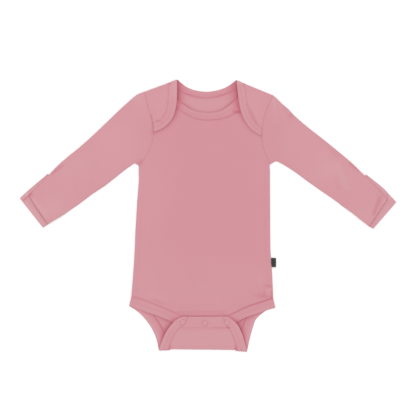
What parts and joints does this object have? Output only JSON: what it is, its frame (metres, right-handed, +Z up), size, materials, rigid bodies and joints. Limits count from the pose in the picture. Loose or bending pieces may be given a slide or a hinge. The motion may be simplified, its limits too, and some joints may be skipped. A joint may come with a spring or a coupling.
{
  "type": "long-sleeved baby onesie",
  "caption": "Long-sleeved baby bodysuit laid flat, with lap shoulders, bound neck and leg openings, fold-over cuff mittens and a snapped crotch tail.",
  "frame": {"origin": "on the surface it lies on, under the middle of its outline", "axes": "+X to the right as seen from above, along the spread sleeves; +Y towards the neck; +Z up, out of the front"},
  "size_m": [0.5648, 0.4082, 0.006],
  "materials": {
    "body_jersey": "soft fine-knit jersey, dusty pink, matt with a faint sheen",
    "jersey_band": "folded jersey binding, dusty pink, stitched along its seam",
    "snap_cap": "pink enamelled ring cap, satin",
    "label_tape": "bare black woven tape, matt"
  },
  "bodies": {
    "root": {"front_panel": "body_jersey", "back_panel": "body_jersey", "left_sleeve": "body_jersey", "right_sleeve": "body_jersey", "left_mitten": "body_jersey", "right_mitten": "body_jersey", "front_neck_band": "jersey_band", "back_neck_band": "jersey_band", "left_leg_band": "jersey_band", "right_leg_band": "jersey_band", "side_label": "label_tape", "snap_left": "snap_cap", "snap_middle": "snap_cap", "snap_right": "snap_cap"}
  },
  "joints": []
}
